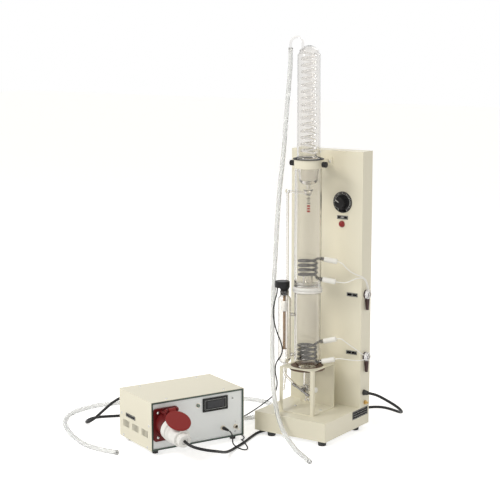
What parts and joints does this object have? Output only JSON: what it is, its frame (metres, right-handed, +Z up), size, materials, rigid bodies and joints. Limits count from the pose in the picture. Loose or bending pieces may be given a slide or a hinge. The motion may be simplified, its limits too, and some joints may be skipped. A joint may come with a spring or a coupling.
{
  "type": "glass water distiller",
  "caption": "Two-stage glass water still on a sheet-metal stand, with a separate level and cut-out control box, hoses, heater leads and cords.",
  "frame": {"origin": "on the table, in the middle of the box round the stand and the control box together", "axes": "+X to the right of the stand seen from its front, +Y towards its back, +Z up"},
  "size_m": [0.8535, 0.6764, 1.0602],
  "materials": {
    "cream_paint": "satin powder coat, warm cream",
    "grey_panel": "satin, pale greenish white",
    "dark_trim": "satin dark green-grey",
    "zinc": "bare plated steel",
    "black_plastic": "moulded, matt",
    "black_rubber": "matt",
    "plate_black": "engraved laminate, white filled",
    "clear_glass": "clear borosilicate glass",
    "brown_rubber": "dark brown, matt",
    "cream_plastic": "moulded cream plastic",
    "white_plastic": "moulded, satin",
    "element_steel": "dark oxidised sheath",
    "red_plastic": "moulded red",
    "red_lens": "translucent red",
    "clear_plastic": "clear moulded plastic",
    "brown_rod": "brown rod",
    "brass": "worn brass",
    "clear_hose": "clear soft hose",
    "black_cord": "flexible black sheath",
    "white_lead": "braided white sleeving",
    "nickel": "nickel-plated brass",
    "grey_green": "moulded grey green"
  },
  "bodies": {
    "stand": {"back_panel": "grey_panel", "base_bottom_plate": "zinc", "base_shell": "cream_paint", "boiler_bracket": "cream_paint", "boiler_seat_ring": "brown_rubber", "clamp_collar": "cream_plastic", "collar_gasket": "black_rubber", "column_back_cover": "cream_paint", "column_housing": "cream_paint", "condenser_coil": "clear_glass", "condenser_jacket": "clear_glass", "control_cover": "cream_paint", "control_tray": "zinc", "cord_grommets": "black_rubber", "distillate_tube": "clear_glass", "earth_terminal": "brass", "face_plates": "plate_black", "feed_hose": "clear_hose", "float_stem": "brown_rod", "front_panel": "grey_panel", "front_trim": "dark_trim", "heater_plugs": "clear_plastic", "heater_sleeves": "white_plastic", "heater_sockets": "red_plastic", "heater_supply_cord": "black_cord", "hose_port": "white_plastic", "indicator_lamps": "red_lens", "level_chamber": "clear_glass", "level_head": "black_plastic", "lower_boiler": "clear_glass", "lower_heater_coil": "element_steel", "lower_heater_leads": "white_lead", "mains_cord": "black_cord", "mains_cord_coil": "black_cord", "mains_cord_tail": "black_cord", "mains_plug": "black_plastic", "meter": "black_plastic", "outlet_hose": "clear_hose", "panel_switches": "black_plastic", "power_plug": "white_plastic", "power_socket": "red_plastic", "regulator_module": "black_plastic", "round_head_screws": "zinc", "rubber_feet": "black_rubber", "sensor_cable": "black_cord", "sensor_jack": "nickel", "sensor_plug": "black_plastic", "stopcock_body": "clear_glass", "stopcock_side_cap": "white_plastic", "upper_boiler": "clear_glass", "upper_heater_coil": "element_steel", "upper_heater_leads": "white_lead"},
    "left_thumbscrew": {"thumbscrew_left": "black_plastic"},
    "right_thumbscrew": {"thumbscrew_right": "black_plastic"},
    "float": {"float": "white_plastic"},
    "stopcock_key": {"stopcock_key": "zinc"},
    "knob": {"regulator_knob": "black_plastic"},
    "lid": {"socket_lid": "red_plastic"},
    "button": {"reset_button": "grey_green"},
    "toggle": {"toggle_lever": "nickel"}
  },
  "joints": [
    {"name": "left_thumbscrew_turn", "type": "hinge", "parent": "stand", "child": "left_thumbscrew", "pos_m": [0.07882, 0.1447, 0.72825], "axis": [1, 0, 0], "continuous": true},
    {"name": "right_thumbscrew_turn", "type": "hinge", "parent": "stand", "child": "right_thumbscrew", "pos_m": [0.16682, 0.1447, 0.72825], "axis": [1, 0, 0], "continuous": true},
    {"name": "float_slide", "type": "slide", "parent": "stand", "child": "float", "axis": [0, 0, 1], "range_m": [-0.1, 0.015]},
    {"name": "stopcock_turn", "type": "hinge", "parent": "stand", "child": "stopcock_key", "pos_m": [0.12282, 0.1447, 0.12], "axis": [0, -1, 0], "continuous": true},
    {"name": "regulator_turn", "type": "hinge", "parent": "stand", "child": "knob", "pos_m": [0.17682, 0.2322, 0.621], "axis": [0, 1, 0], "range_deg": [-90, 210]},
    {"name": "lid_hinge", "type": "hinge", "parent": "stand", "child": "lid", "pos_m": [-0.0435, -0.23701, 0.1245], "axis": [-0.4003, -0.9164, 0], "range_deg": [0, 70], "stiffness_Nm_per_rad": 0.02, "springref_deg": -40.11},
    {"name": "reset_press", "type": "slide", "parent": "stand", "child": "button", "axis": [-0.9164, 0.4003, 0], "range_m": [0, 0.0015], "stiffness_N_per_m": 900, "springref_m": -0.0006},
    {"name": "toggle_throw", "type": "hinge", "parent": "stand", "child": "toggle", "pos_m": [0.00496, -0.02793, 0.039], "axis": [-0.4003, -0.9164, 0], "range_deg": [0, 24]}
  ]
}
